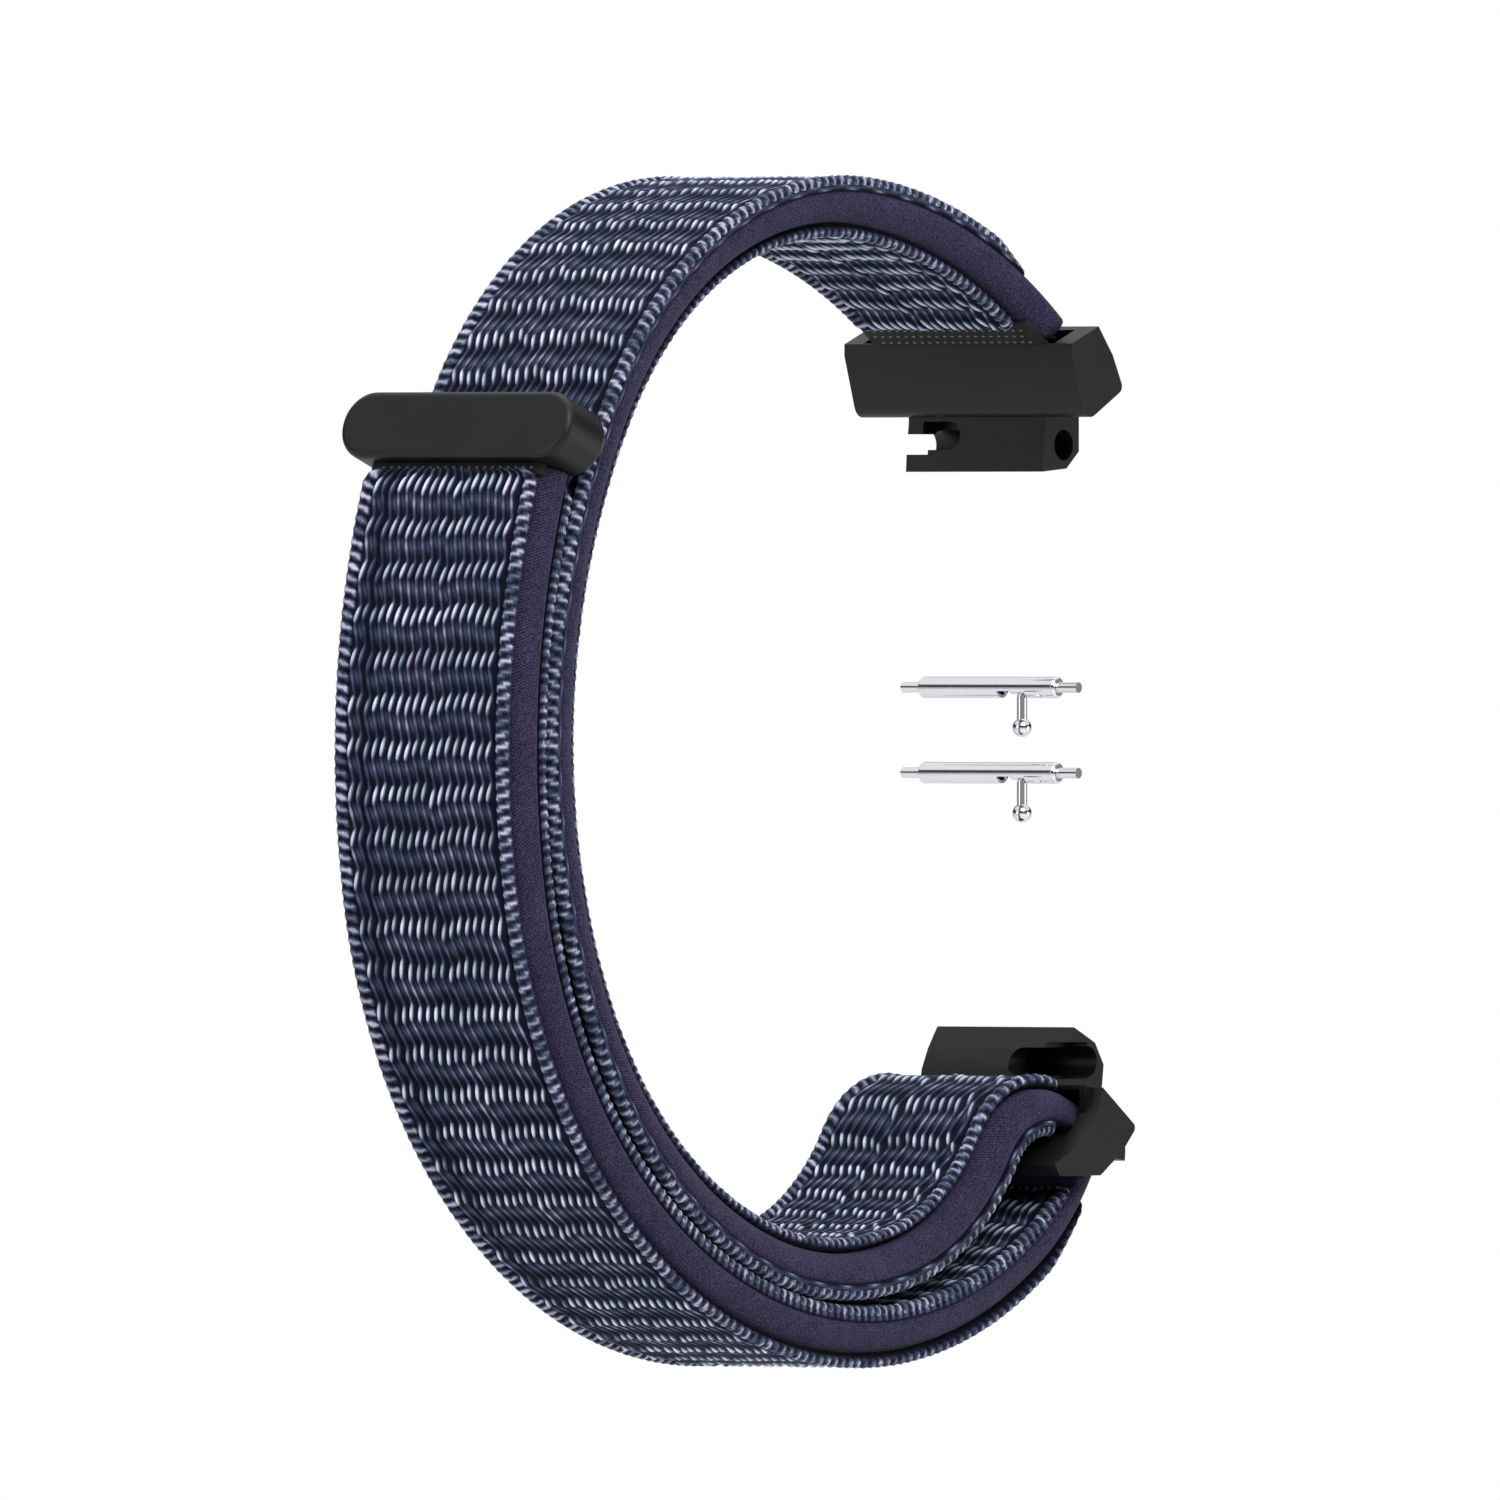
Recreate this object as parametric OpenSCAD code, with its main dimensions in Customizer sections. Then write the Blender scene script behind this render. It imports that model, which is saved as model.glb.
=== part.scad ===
// Woven sport band for a slim fitness tracker: one layered strap that folds back through a frame and
// grips its own outer face, a moulded connector at each end and two quick-release spring bars.
// X points to the tracker, Y runs across the band, Z is up. The origin is the middle of the wrist loop.

/* [Strap] */
// Width of the strap across the wrist
strap_w = 14.8; // [12:0.1:16]
// Thickness of the knitted core
core_t = 1.95; // [1.6:0.05:2]
// Thickness of each woven facing
facing_t = 1; // [0.6:0.05:1.05]
// Width the wrist-side facing stops short of each core edge
selvage_in = 0.6; // [0.2:0.05:1]
// Thickness of the stitched tab that loops round a pin
tab_t = 1.3; // [1:0.05:1.5]
// How far the wrist-side facing stops before the top connector
facing_back = 2.6; // [1.5:0.1:4]
// How far the loop facing stops before the top connector
loop_back = 4.5; // [2:0.1:8]
// How far both facings stop before the tail cap
tail_back = 0.5; // [0.3:0.1:2]

/* [Connectors] */
// Width of both moulded connectors
connector_w = 18.3; // [16:0.1:22]
// Width of the lug that takes a spring bar
lug_w = 11; // [9:0.1:13]
// Diameter of the spring bar bore
bore_d = 1.96; // [1.7:0.02:2]
// Gap beside the strap inside a connector
strap_room = 0.3; // [0.2:0.05:0.6]
// Height of the quick-release cut-out
release_h = 1.8; // [1.4:0.05:1.9]
// Length of the quick-release cut-out
release_l = 4.2; // [3:0.1:5]

/* [Tail cap] */
// Length of the tail cap across the band
cap_l = 18.3; // [16.5:0.1:22]
// Height of the tail cap along the strap
cap_h = 4.5; // [4:0.1:6]
// Thickness of the tail cap's front half
cap_front_t = 2.4; // [1.8:0.05:2.8]
// Thickness of the tail cap's back half
cap_back_t = 1.6; // [1.4:0.05:1.9]

/* [Pins] */
// Diameter of the pins inside the stitched loops
loop_pin_d = 0.8; // [0.6:0.05:1]
// Radial gap between a pin and what turns on it
pin_gap = 0.05; // [0.02:0.01:0.1]

/* [Spring bars] */
// Length of the spring bar's barrel
barrel_l = 10.9; // [8:0.1:12]
// Outside diameter of the barrel
barrel_d = 1.36; // [1.3:0.02:1.6]
// Wall of the barrel
barrel_wall = 0.22; // [0.16:0.02:0.26]
// Diameter of the spring-loaded tips
tip_d = 0.68; // [0.6:0.02:0.74]
// How far each tip stands out
tip_out = 1.6; // [1:0.1:2]
// Travel of each tip
tip_travel = 1.2; // [0.8:0.1:1.3]
// Diameter of the release knob
knob_d = 1.22; // [1:0.02:1.4]
// Drop from the bar's axis to the knob's centre
knob_drop = 2.55; // [2:0.05:3]
// Running gap on the radius of each sliding tip
slide_gap = 0.02; // [0.01:0.005:0.04]

/* [Hidden] */
$fn = 48;

// Strap centre line: start station [x, z, heading], then [radius, sweep], left turns positive;
// a radius of 0 is a straight of that length
strap_start = [26.65, 27.65, 141.8];
loop_arcs = [[37.2, 32.3], [26.1, 31.7], [26.8, 31.6], [40.5, 28.2], [38, 30.6], [30.3, 44.4], [24.5, 33.6],
             [16.2, 42.7], [5.8, -77], [0, 1.4]];
fold_r = 2.2;
fold_arcs = [[fold_r, -102]];
outer_arcs = [[17.7, -24.5], [30.1, -15.9], [33.5, -17.7], [35.9, -41.3], [33.8, -12.2]];
flex_arcs = [[33.8, -13]];
tail_arcs = [[33.8, -13], [49.9, -30.8]];
arcs = concat(loop_arcs, fold_arcs, outer_arcs, flex_arcs, tail_arcs);
arc_step = 5;

function seg_len(a) = a[0] == 0 ? a[1] : a[0] * abs(a[1]) * PI / 180;
function path_len(a, i = 0) = i == len(a) ? 0 : seg_len(a[i]) + path_len(a, i + 1);
function seg_at(p, a, t) = a[0] == 0
    ? [p.x + a[1] * t * cos(p[2]), p.y + a[1] * t * sin(p[2]), p[2]]
    : let(side = sign(a[1]), h = p[2] + a[1] * t)
      [p.x + side * a[0] * (sin(h) - sin(p[2])), p.y - side * a[0] * (cos(h) - cos(p[2])), h];
function at(s, p = strap_start, i = 0) =
    let(l = seg_len(arcs[i]))
    s <= l || i == len(arcs) - 1 ? seg_at(p, arcs[i], s / l) : at(s - l, seg_at(p, arcs[i], 1), i + 1);
function off(p, d) = [p.x - d * sin(p[2]), p.y + d * cos(p[2])];
function seg_steps(a) = a[0] == 0 ? 1 : ceil(abs(a[1]) / arc_step);
function even_marks(i = 0, s = 0) = i == len(arcs) ? [s]
    : concat([for (k = [0 : seg_steps(arcs[i]) - 1]) s + seg_len(arcs[i]) * k / seg_steps(arcs[i])],
             even_marks(i + 1, s + seg_len(arcs[i])));
function sorted(v) = len(v) < 2 ? v
    : let(m = v[floor(len(v) / 2)])
      concat(sorted([for (x = v) if (x < m - 0.01) x]), [m], sorted([for (x = v) if (x > m + 0.01) x]));

fold_s = path_len(loop_arcs);
outer_s = fold_s + path_len(fold_arcs);
flex_s = outer_s + path_len(outer_arcs);
tail_s = flex_s + path_len(flex_arcs);
end_s = tail_s + path_len(tail_arcs);
window_back = 2.6;
marks = sorted(concat(even_marks(), [facing_back, loop_back, fold_s - window_back, outer_s + window_back,
                                     flex_s, tail_s, end_s - tail_back]));

core_off = core_t / 2;
full_off = core_off + facing_t;
facing_w = strap_w - 2 * selvage_in;
tab_w = strap_w - 0.8;
tab_wrap = 0.45;
loop_r = loop_pin_d / 2 + pin_gap + tab_wrap;

// Top connector profile and the pin that holds the strap's stitched loop
top_lug = [29.5, 20.5];
top_pin_at = [27.9, 25.2];
// Bottom connector: the strap folds round a bar at the centre of the fold
fold_start = at(fold_s);
bar_at = off(fold_start, -fold_r);
bar_r = fold_r - core_off - pin_gap;
fold_room = 0.2;
window_room = 0.5;
back_wall = 0.75;
gap_w = strap_w + 2 * strap_room;
bottom_lug = [32, -18.8];
cap_room = 0.1;
tail_end = at(end_s);
// The cap sits beyond the strap's end, on the end tangent
cap_at = [tail_end.x + (cap_h / 2 + 0.2) * cos(tail_end[2]), tail_end.y + (cap_h / 2 + 0.2) * sin(tail_end[2])];
cap_tilt = tail_end[2];

// Spring bars lie loose between the connectors, their axes across the band
bar_x = 29.05;
bar_z = [5.05, -0.4];
lever_y = -2.5;
stem_d = 0.66;
rim_l = 0.4;
head_r = barrel_d / 2 - barrel_wall - slide_gap;
lever_head = [-barrel_l / 2 + rim_l, lever_y + 0.75];
plain_head = [barrel_l / 2 - rim_l - 1.9, barrel_l / 2 - rim_l];
spigot_d = 0.4;
turns = 8;
wire_d = 0.13;

// ---- helpers ----

// Extrude a side-view outline to a width across the band
module across(w, y = 0) { translate([0, y, 0]) rotate([90, 0, 0]) linear_extrude(w, center = true) children(); }

// A round bar along Y at a point of the side view
module rod(p, r, w, y = 0) { translate([p.x, y, p.y]) rotate([90, 0, 0]) cylinder(r = r, h = w, center = true); }

// A layer of the strap between two lengths along it and two offsets from the centre line
module layer(s0, s1, d0, d1, w) {
    inside = [for (s = marks) if (s > s0 - 0.01 && s < s1 + 0.01) at(s)];
    n = len(inside);
    across(w) polygon(concat([for (p = inside) off(p, d0)], [for (i = [1 : n]) off(inside[n - i], d1)]));
}

// A stitched tab from a strap end to a loop round a pin
module tab(from, to, w) {
    h = atan2(to.y - from.y, to.x - from.x);
    long = norm([to.x - from.x, to.y - from.y]);
    translate([from.x, 0, from.y]) rotate([0, -h, 0]) translate([-0.4, -w / 2, -tab_t / 2])
        cube([long + 0.4, w, tab_t]);
    rod(to, loop_r, w);
}

// A row of short raised stitches across the strap
module stitch_row(p, tilt, side, count, w) {
    pitch = w / count;
    translate([p.x, 0, p.y]) rotate([0, -tilt, 0])
        for (i = [0 : count - 1])
            translate([-0.12, -w / 2 + (i + 0.3) * pitch, side * tab_t / 2 - (side < 0 ? 0.1 : 0)])
                cube([0.24, pitch * 0.5, 0.1]);
}

// ---- strap ----

module strap_core() {
    top = at(0);
    color("#3b3655") difference() {
        union() {
            layer(0, flex_s, -core_off, core_off, strap_w);
            tab([top.x, top.y], top_pin_at, tab_w);
        }
        rod(top_pin_at, loop_pin_d / 2 + pin_gap, strap_w + 1);
    }
}
module wrist_facing() {
    color("#34385a") layer(facing_back, fold_s - window_back, core_off, full_off, facing_w);
}
module loop_facing() {
    color("#2c3050") layer(loop_back, fold_s - window_back, -full_off, -core_off, strap_w);
}
module outer_run_inside_facing() {
    color("#2c3050") layer(outer_s + window_back, flex_s, -full_off, -core_off, strap_w);
}
module outer_run_outside_facing() {
    color("#34385a") layer(outer_s + window_back, flex_s, core_off, full_off, facing_w);
}
module top_stitching() {
    top = at(0);
    h = atan2(top_pin_at.y - top.y, top_pin_at.x - top.x);
    for (d = [0.3, 0.8])
        for (side = [-1, 1])
            color("#15151b") stitch_row([top.x + d * cos(h), top.y + d * sin(h)], h, side, 18, tab_w - 1);
}
module flex_core() {
    color("#3b3655") layer(flex_s, tail_s, -core_off, core_off, strap_w);
}
module flex_inside_facing() {
    color("#2c3050") layer(flex_s, tail_s, -full_off, -core_off, strap_w);
}
module flex_outside_facing() {
    color("#34385a") layer(flex_s, tail_s, core_off, full_off, facing_w);
}
module tail_core() {
    color("#3b3655") difference() {
        union() {
            layer(tail_s, end_s, -core_off, core_off, strap_w);
            tab([tail_end.x, tail_end.y], cap_at, tab_w);
        }
        rod(cap_at, loop_pin_d / 2 + pin_gap, strap_w + 1);
    }
}
module tail_hook_facing() {
    color("#1d1f33") layer(tail_s, end_s - tail_back, -full_off, -core_off, strap_w);
}
module tail_outside_facing() {
    color("#34385a") layer(tail_s, end_s - tail_back, core_off, full_off, facing_w);
}
module tail_stitching() {
    color("#15151b") stitch_row([tail_end.x, tail_end.y], cap_tilt, 1, 18, tab_w - 1);
    color("#15151b") stitch_row([tail_end.x, tail_end.y], cap_tilt, -1, 18, tab_w - 1);
}

// ---- tail cap ----

// Pill outline with a rounded edge; t is the height of this half above the split
module pill_half(t) {
    edge = t * 0.45;
    r = cap_h / 2;
    hull()
        for (y = [-1, 1])
            translate([0, y * (cap_l / 2 - r), 0]) rotate_extrude($fn = 40)
                polygon([[0, 0], [r - 0.05, 0], [r, 0.15], [r, t - edge], [r - edge * 0.3, t - edge * 0.3],
                         [r - edge, t], [0, t]]);
}
module cap_frame() { translate([cap_at.x, 0, cap_at.y]) rotate([0, -cap_tilt, 0]) children(); }
module cap_pocket() {
    cap_frame() {
        translate([-cap_h, -tab_w / 2 - cap_room, -tab_t / 2 - cap_room])
            cube([cap_h, tab_w + 2 * cap_room, tab_t + 2 * cap_room]);
        rotate([90, 0, 0]) cylinder(r = loop_r + cap_room, h = tab_w + 2 * cap_room, center = true);
    }
    rod(cap_at, loop_pin_d / 2, tab_w + 2);
}
module tail_cap_front() {
    color("#242428") difference() {
        cap_frame() pill_half(cap_front_t);
        cap_pocket();
    }
}
module tail_cap_back() {
    color("#242428") difference() {
        cap_frame() mirror([0, 0, 1]) pill_half(cap_back_t);
        cap_pocket();
    }
}
module tail_pin() { color("#b8bcc4") rod(cap_at, loop_pin_d / 2, tab_w + 2); }

// ---- top connector ----

// A corner of a profile rounded by a short run of points
function rounded(a, b, c, r) =
    let(u = (a - b) / norm(a - b), v = (c - b) / norm(c - b), half = acos(u * v) / 2, d = r / tan(half),
        m = b + (u + v) / norm(u + v) * r / sin(half), p = b + u * d, q = b + v * d,
        h0 = atan2(p.y - m.y, p.x - m.x), h1 = atan2(q.y - m.y, q.x - m.x),
        turn = h1 - h0 > 180 ? h1 - h0 - 360 : h1 - h0 < -180 ? h1 - h0 + 360 : h1 - h0)
    [for (i = [0 : 5]) m + r * [cos(h0 + turn * i / 5), sin(h0 + turn * i / 5)]];

module top_wedge() {
    inner_top = [25.6, 26.95];
    outer_top = [28.4, 28.05];
    shoulder = [29.9, 26.2];
    heel = [31, 24.05];
    toe = [27, 21.85];
    chamfer = [25.6, 26.2];
    polygon(concat([inner_top, outer_top, shoulder], rounded(shoulder, heel, toe, 0.45),
                   rounded(heel, toe, chamfer, 0.9), [chamfer]));
}
module top_lug_outline() {
    polygon([[27.3, 18.8], [29.8, 19], [31.1, 20.1], [31.1, 23.6], [30.6, 24.4], [27.6, 23.2], [27.6, 21.9],
             [27.4, 20.4]]);
}
// Quick-release cut-out through the lug's inner wall: a round-ended slot, then the way out at the lug's end
module release_cut(centre, out, way) {
    depth = 3.5;
    stretch = release_l - release_h / 2 - 1.2;
    y_round = out * (lug_w / 2 - release_l + release_h / 2);
    translate([centre.x - depth, y_round, centre.y]) rotate([0, 90, 0]) cylinder(d = release_h, h = depth);
    translate([centre.x - depth, min(y_round, y_round + out * stretch), centre.y - release_h / 2])
        cube([depth, stretch, release_h]);
    translate([centre.x - depth, out > 0 ? lug_w / 2 - 1.7 : -lug_w / 2 - 1, way[0]])
        cube([depth, 2.7, way[1] - way[0]]);
}
module top_connector() {
    mouth = at(0);
    h = atan2(mouth.y - top_pin_at.y, mouth.x - top_pin_at.x);
    color("#242428") difference() {
        union() {
            across(connector_w) top_wedge();
            across(lug_w) top_lug_outline();
        }
        rod(top_lug, bore_d / 2, lug_w + 2);
        rod(top_pin_at, loop_r + 0.1, gap_w);
        rod(top_pin_at, loop_pin_d / 2, tab_w + 2.4);
        across(gap_w) translate(top_pin_at) rotate(h)
            polygon([[0, -tab_t / 2 - 0.15], [4, -tab_t / 2 - 0.7], [4, tab_t / 2 + 0.7], [0, tab_t / 2 + 0.15]]);
        release_cut([top_lug.x, top_lug.y + 0.6], 1, [top_lug.y - 0.6, top_lug.y + 0.7]);
    }
}
module top_pin() { color("#b8bcc4") rod(top_pin_at, loop_pin_d / 2, tab_w + 2.4); }

// ---- bottom connector ----

module bottom_profile() {
    toe = [23.8, -25.3];
    sole = [24.35, -26];
    heel = [28.6, -26];
    shoulder = [30.9, -24.5];
    outer = [32.4, -22.95];
    top = [28.85, -20.4];
    polygon(concat([toe, sole, heel, shoulder], rounded(shoulder, outer, top, 0.35),
                   [top, [28.5, -21.7], [27.9, -22.6], [26.9, -23.4], [25.5, -24.4]]));
}
module bottom_lug_outline() {
    polygon([[30.6, -16.6], [32.8, -17.6], [33.7, -19], [33.5, -20.6], [31.6, -22.7], [29.6, -21.6],
             [28.7, -20.6], [28.95, -19.3], [29.6, -18]]);
}
// Back wall round the outside of the fold
module fold_wall() {
    reach = fold_r + core_off + fold_room + back_wall;
    intersection() {
        rod(bar_at, reach, gap_w + 1);
        across(gap_w + 1) polygon([bar_at, [34, -25.4], [34, -20], [28.2, -18]]);
    }
}
// The strap's bar with the beam that joins it to the inner bottom edge
module strap_bar() {
    rod(bar_at, bar_r, gap_w + 1);
    root = bar_r * 0.9;
    across(gap_w + 1) polygon([[23.8, -25.3], [24.35, -26], [27.5, -26], [bar_at.x, bar_at.y - root],
                               [bar_at.x, bar_at.y + root], [26.9, -23.6], [25.5, -24.4]]);
}
module bottom_connector() {
    color("#242428") {
        difference() {
            union() {
                across(connector_w) bottom_profile();
                across(lug_w) bottom_lug_outline();
                fold_wall();
            }
            rod(bar_at, fold_r + core_off + fold_room, gap_w);
            across(gap_w) polygon([bar_at, [20, -23], [20, -18], off(fold_start, core_off + window_room)]);
            across(gap_w) polygon([bar_at, [26, -27], [26, -30], [36, -30], [36, -25.8]]);
            rod(bottom_lug, bore_d / 2, lug_w + 2);
            release_cut(bottom_lug, -1, [bottom_lug.y - 1.1, bottom_lug.y + 1.25]);
        }
        strap_bar();
    }
}

// ---- spring bars ----

module at_bar(i) { translate([bar_x, 0, bar_z[i]]) children(); }
module along_y(y0, y1, r) { translate([0, y0, 0]) rotate([-90, 0, 0]) cylinder(r = r, h = y1 - y0); }

module barrel(i) {
    chamfer = 0.12;
    half = barrel_l / 2;
    r = barrel_d / 2;
    slot_in = -lever_y - stem_d / 2 - tip_travel - 0.06;
    slot_out = -lever_y + stem_d / 2 + 0.25;
    color("#c9ccd2") at_bar(i) difference() {
        rotate([-90, 0, 0]) rotate_extrude()
            polygon([[0, -half], [r - chamfer, -half], [r, chamfer - half], [r, half - chamfer],
                     [r - chamfer, half], [0, half]]);
        along_y(-half + rim_l, half - rim_l, head_r + slide_gap);
        along_y(-half - 1, half + 1, tip_d / 2 + slide_gap);
        translate([-r - 1, -slot_out, -r - 1]) cube([2 * r + 2, slot_out - slot_in, 1.45]);
    }
}
module lever_tip(i) {
    color("#c9ccd2") at_bar(i) difference() {
        union() {
            along_y(-barrel_l / 2 - tip_out, lever_head[0] + 0.2, tip_d / 2);
            along_y(lever_head[0], lever_head[1], head_r);
        }
        translate([0, lever_y, -1]) cylinder(d = spigot_d, h = 1);
    }
}
module knob(i) {
    color("#c9ccd2") at_bar(i) translate([0, lever_y, 0]) {
        translate([0, 0, -head_r - 0.3]) cylinder(d = spigot_d, h = head_r + 0.3);
        translate([0, 0, -knob_drop]) cylinder(d = stem_d, h = knob_drop - head_r - 0.02);
        translate([0, 0, -knob_drop]) sphere(d = knob_d);
    }
}
module plain_tip(i) {
    color("#c9ccd2") at_bar(i) union() {
        along_y(plain_head[0], plain_head[1], head_r);
        along_y(plain_head[1] - 0.2, barrel_l / 2 + tip_out, tip_d / 2);
    }
}
// Coil spring: one tube swept along a helix
module spring(i) {
    sides = 6;
    steps = turns * 12;
    mean_r = head_r - wire_d / 2 - 0.02;
    y0 = lever_head[1] + wire_d / 2 + 0.02;
    y1 = plain_head[0] - wire_d / 2 - 0.02;
    ring = [for (k = [0 : steps]) for (j = [0 : sides - 1])
        let(a = 360 * turns * k / steps, b = 360 * j / sides, r = mean_r + wire_d / 2 * cos(b))
        [r * cos(a), y0 + (y1 - y0) * k / steps + wire_d / 2 * sin(b), r * sin(a)]];
    last = steps * sides;
    walls = [for (k = [0 : steps - 1]) for (j = [0 : sides - 1])
        let(n = (j + 1) % sides, p = k * sides, q = p + sides) each [[p + j, q + j, q + n], [p + j, q + n, p + n]]];
    color("#9fa4ad") at_bar(i) polyhedron(ring, concat(
        walls, [[for (j = [0 : sides - 1]) j], [for (j = [0 : sides - 1]) last + sides - 1 - j]]));
}

module upper_barrel() { barrel(0); }
module upper_lever_tip() { lever_tip(0); }
module upper_knob() { knob(0); }
module upper_plain_tip() { plain_tip(0); }
module upper_spring() { spring(0); }
module lower_barrel() { barrel(1); }
module lower_lever_tip() { lever_tip(1); }
module lower_knob() { knob(1); }
module lower_plain_tip() { plain_tip(1); }
module lower_spring() { spring(1); }

strap_core();
wrist_facing();
loop_facing();
outer_run_inside_facing();
outer_run_outside_facing();
top_stitching();
flex_core();
flex_inside_facing();
flex_outside_facing();
tail_core();
tail_hook_facing();
tail_outside_facing();
tail_stitching();
tail_cap_front();
tail_cap_back();
tail_pin();
top_connector();
top_pin();
bottom_connector();
upper_barrel();
upper_lever_tip();
upper_knob();
upper_plain_tip();
upper_spring();
lower_barrel();
lower_lever_tip();
lower_knob();
lower_plain_tip();
lower_spring();
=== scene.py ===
import math
import bmesh
import bpy
import numpy as np
from mathutils import Matrix, Vector


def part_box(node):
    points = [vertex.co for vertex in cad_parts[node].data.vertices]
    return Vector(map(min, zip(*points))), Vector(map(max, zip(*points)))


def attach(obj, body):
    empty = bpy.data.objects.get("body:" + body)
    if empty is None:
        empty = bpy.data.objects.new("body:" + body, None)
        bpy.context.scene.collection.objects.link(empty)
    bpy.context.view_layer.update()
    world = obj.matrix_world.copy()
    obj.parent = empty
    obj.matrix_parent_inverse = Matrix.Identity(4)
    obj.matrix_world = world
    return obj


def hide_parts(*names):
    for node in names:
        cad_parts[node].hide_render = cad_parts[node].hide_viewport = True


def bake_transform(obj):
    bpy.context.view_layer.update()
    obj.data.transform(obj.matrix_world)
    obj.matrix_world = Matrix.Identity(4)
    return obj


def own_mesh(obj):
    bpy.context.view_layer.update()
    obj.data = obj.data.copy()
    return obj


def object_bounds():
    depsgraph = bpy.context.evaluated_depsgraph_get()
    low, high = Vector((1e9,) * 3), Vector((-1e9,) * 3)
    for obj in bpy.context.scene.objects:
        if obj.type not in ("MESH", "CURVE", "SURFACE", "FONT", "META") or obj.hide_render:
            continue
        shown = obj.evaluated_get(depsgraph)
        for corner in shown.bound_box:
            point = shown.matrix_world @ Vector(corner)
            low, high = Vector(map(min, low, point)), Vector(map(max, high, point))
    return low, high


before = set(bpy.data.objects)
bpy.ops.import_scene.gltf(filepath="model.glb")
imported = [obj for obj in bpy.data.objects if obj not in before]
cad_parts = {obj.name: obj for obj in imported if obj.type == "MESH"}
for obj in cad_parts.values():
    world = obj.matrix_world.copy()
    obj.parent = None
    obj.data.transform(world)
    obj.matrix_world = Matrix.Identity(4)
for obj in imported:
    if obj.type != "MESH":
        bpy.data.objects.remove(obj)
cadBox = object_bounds()
mm = 0.001
scene = bpy.context.scene

view = {
    "azimuth": 52.2,
    "elevation": 0.2,
    "distance": 3.0,
    "frameWidth": 0.09494,  # what the view takes in at the band
    "rightShift": 0.00244,
    "upShift": 0.00114,
    "sensor": 36,
    "near": 0.01,
    "far": 20,
}


def makeCamera():
    turn = math.radians(view["azimuth"])
    rise = math.radians(view["elevation"])
    towards = Vector((-math.sin(turn) * math.cos(rise), -math.cos(turn) * math.cos(rise), math.sin(rise)))
    right = Vector((math.cos(turn), -math.sin(turn), 0))
    target = right * view["rightShift"] + Vector((0, 0, view["upShift"]))
    data = bpy.data.cameras.new("camera")
    data.sensor_width = view["sensor"]
    data.lens = view["sensor"] * view["distance"] / view["frameWidth"]
    data.clip_start = view["near"]
    data.clip_end = view["far"]
    camera = bpy.data.objects.new("camera", data)
    camera.location = target + towards * view["distance"]
    camera.rotation_euler = (-towards).to_track_quat("-Z", "Y").to_euler()
    scene.collection.objects.link(camera)
    scene.camera = camera


studio = {
    "lights": [  # name, place, size and power, each aimed at the origin
        ("keyLight", (-0.35, -0.55, 0.55), 0.45, 4.5),
        ("topLight", (0.1, 0.05, 0.7), 0.5, 1.7),
        ("sideLight", (-0.75, 0.25, 0.12), 0.4, 1.4),
        ("rightLight", (0.35, -0.6, -0.05), 0.3, 0.8),
    ],
    "sky": [  # height from the horizon to overhead, and colour: a dark band makes the metal read as metal
        (0.0, (0.3, 0.3, 0.31)),
        (0.06, (0.05, 0.05, 0.051)),
        (0.36, (0.06, 0.06, 0.0612)),
        (0.46, (1.0, 1.0, 1.02)),
        (0.85, (1.0, 1.0, 1.02)),
        (1.0, (0.4, 0.4, 0.41)),
    ],
    "skyStrength": 0.95,
    "floorDrop": 0.16,  # floor below the band
    "floorSize": 6,
    "floorColour": (0.75, 0.75, 0.75),
    "floorRoughness": 0.9,
}


def makeLights():
    for name, place, size, power in studio["lights"]:
        data = bpy.data.lights.new(name, "AREA")
        data.shape = "SQUARE"
        data.size = size
        data.energy = power
        lamp = bpy.data.objects.new(name, data)
        lamp.location = place
        lamp.rotation_euler = (-Vector(place)).to_track_quat("-Z", "Y").to_euler()
        scene.collection.objects.link(lamp)


# The sky lights the band, and the camera sees plain white in its place
def makeSky():
    world = bpy.data.worlds.new("studioSky")
    world.use_nodes = True
    scene.world = world
    tree = world.node_tree
    tree.nodes.clear()
    coord = tree.nodes.new("ShaderNodeTexCoord")
    split = tree.nodes.new("ShaderNodeSeparateXYZ")
    wire(tree, coord.outputs["Generated"], split.inputs[0])
    soft = tree.nodes.new("ShaderNodeBackground")
    soft.inputs["Strength"].default_value = studio["skyStrength"]
    wire(tree, colourRamp(tree, split.outputs["Z"], studio["sky"]), soft.inputs["Color"])
    white = tree.nodes.new("ShaderNodeBackground")
    white.inputs["Color"].default_value = (1, 1, 1, 1)
    out = tree.nodes.new("ShaderNodeOutputWorld")
    wire(tree, seenOrNot(tree, soft.outputs[0], white.outputs[0]), out.inputs["Surface"])


# One shader for light that bounces and another for what the camera sees
def seenOrNot(tree, bounced, seen):
    path = tree.nodes.new("ShaderNodeLightPath")
    mix = tree.nodes.new("ShaderNodeMixShader")
    wire(tree, path.outputs["Is Camera Ray"], mix.inputs["Fac"])
    wire(tree, bounced, mix.inputs[1])
    wire(tree, seen, mix.inputs[2])
    return mix.outputs[0]


def makeFloor():
    bm = bmesh.new()
    bmesh.ops.create_grid(bm, x_segments=1, y_segments=1, size=studio["floorSize"])
    floor = meshObject("floor", bm)
    floor.data.transform(Matrix.Translation((0, 0, cadBox[0][2] - studio["floorDrop"])))
    paint = plainMaterial("palePaper", studio["floorColour"], studio["floorRoughness"])
    tree = paint.node_tree
    glow = tree.nodes.new("ShaderNodeEmission")
    both = seenOrNot(tree, tree.nodes["Principled BSDF"].outputs[0], glow.outputs[0])
    wire(tree, both, tree.nodes["Material Output"].inputs["Surface"])
    floor.data.materials.append(paint)
    scene.view_settings.view_transform = "Standard"


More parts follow.
